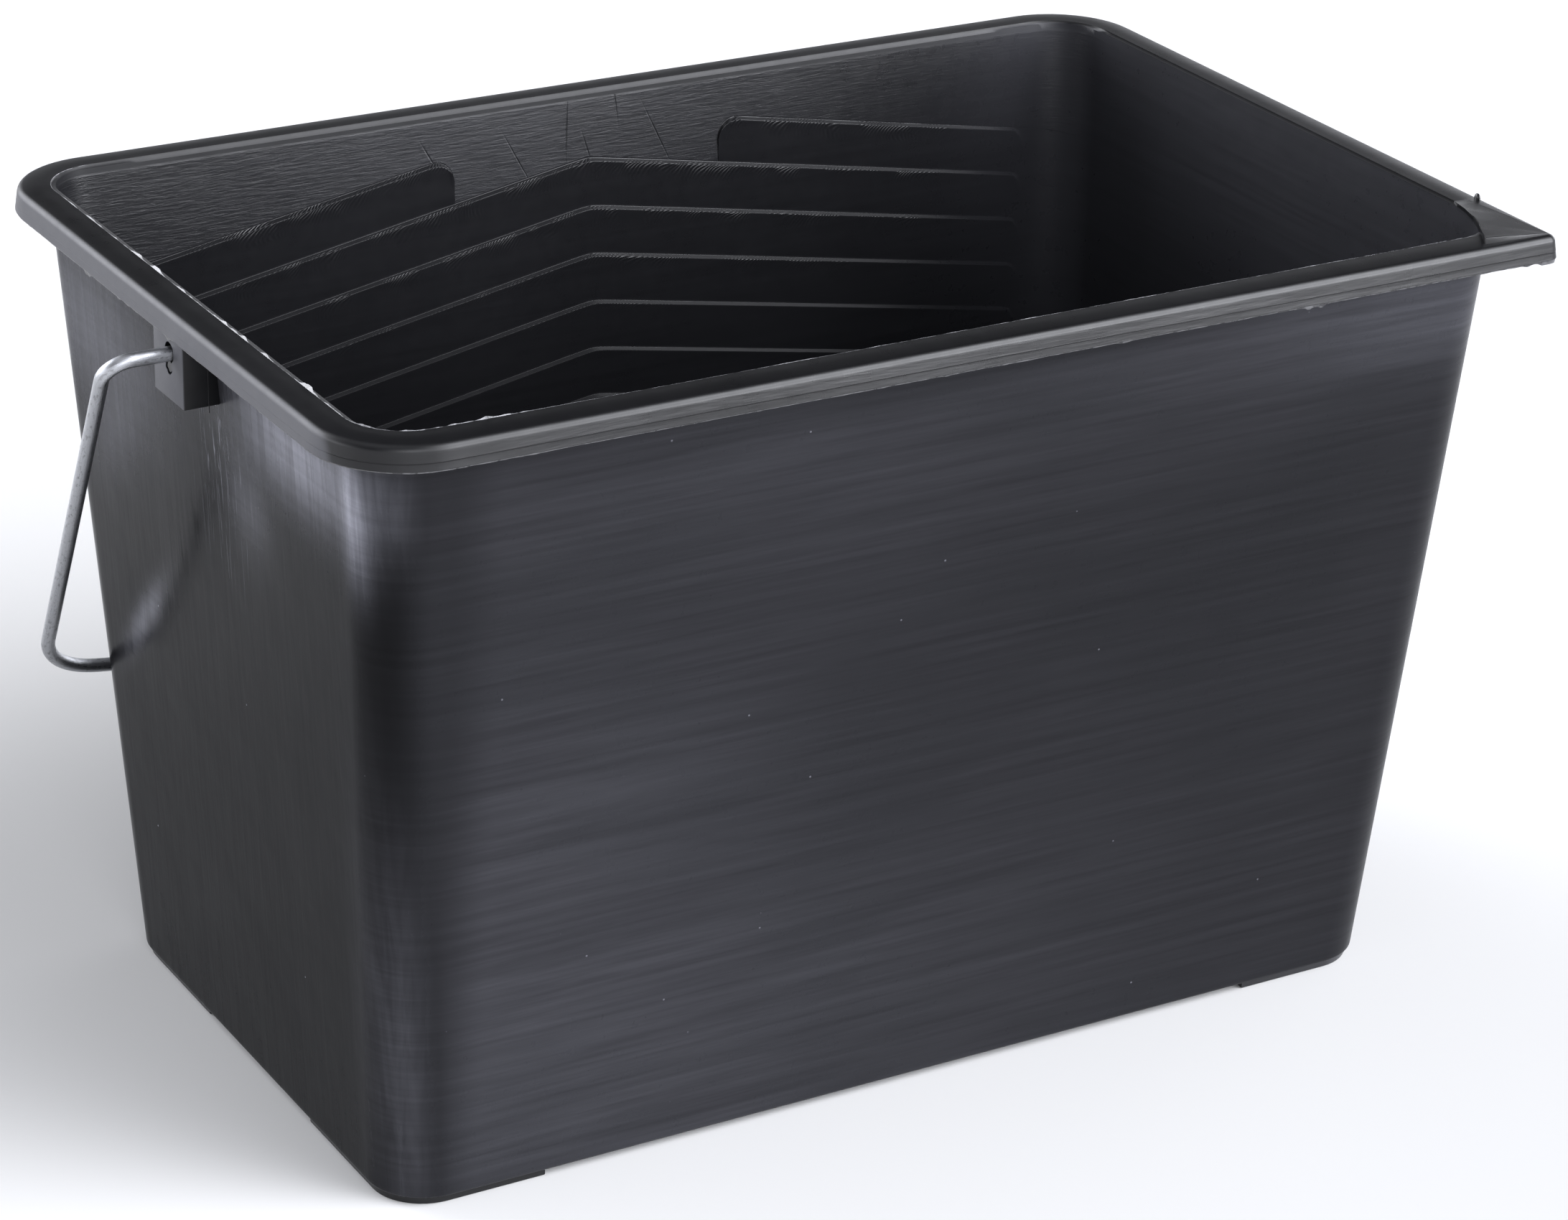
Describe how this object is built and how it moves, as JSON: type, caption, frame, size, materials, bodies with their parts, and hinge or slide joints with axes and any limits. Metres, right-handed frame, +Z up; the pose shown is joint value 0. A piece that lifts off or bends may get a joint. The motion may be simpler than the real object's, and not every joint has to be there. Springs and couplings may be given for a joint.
{
  "type": "paint scuttle",
  "caption": "Deep rectangular plastic paint bucket with tapered walls, a flanged rim, a chevron grid on one inside wall, a sharp pouring corner and a hinged wire bail.",
  "frame": {"origin": "centre of the bounding box at the underside of the feet", "axes": "+X along the length, with the pouring corner at its end; +Y from the front wall to the grid wall; +Z up"},
  "size_m": [0.3794, 0.2278, 0.2216],
  "materials": {
    "black_plastic": "satin, blue-black recycled polypropylene",
    "galvanised_wire": "dull galvanised"
  },
  "bodies": {
    "bucket": {"bucket_body": "black_plastic"},
    "bail": {"wire_bail": "galvanised_wire"}
  },
  "joints": [
    {"name": "bail_swing", "type": "hinge", "parent": "bucket", "child": "bail", "pos_m": [0, -0.0062, 0.2085], "axis": [1, 0, 0], "range_deg": [0, 290]}
  ]
}
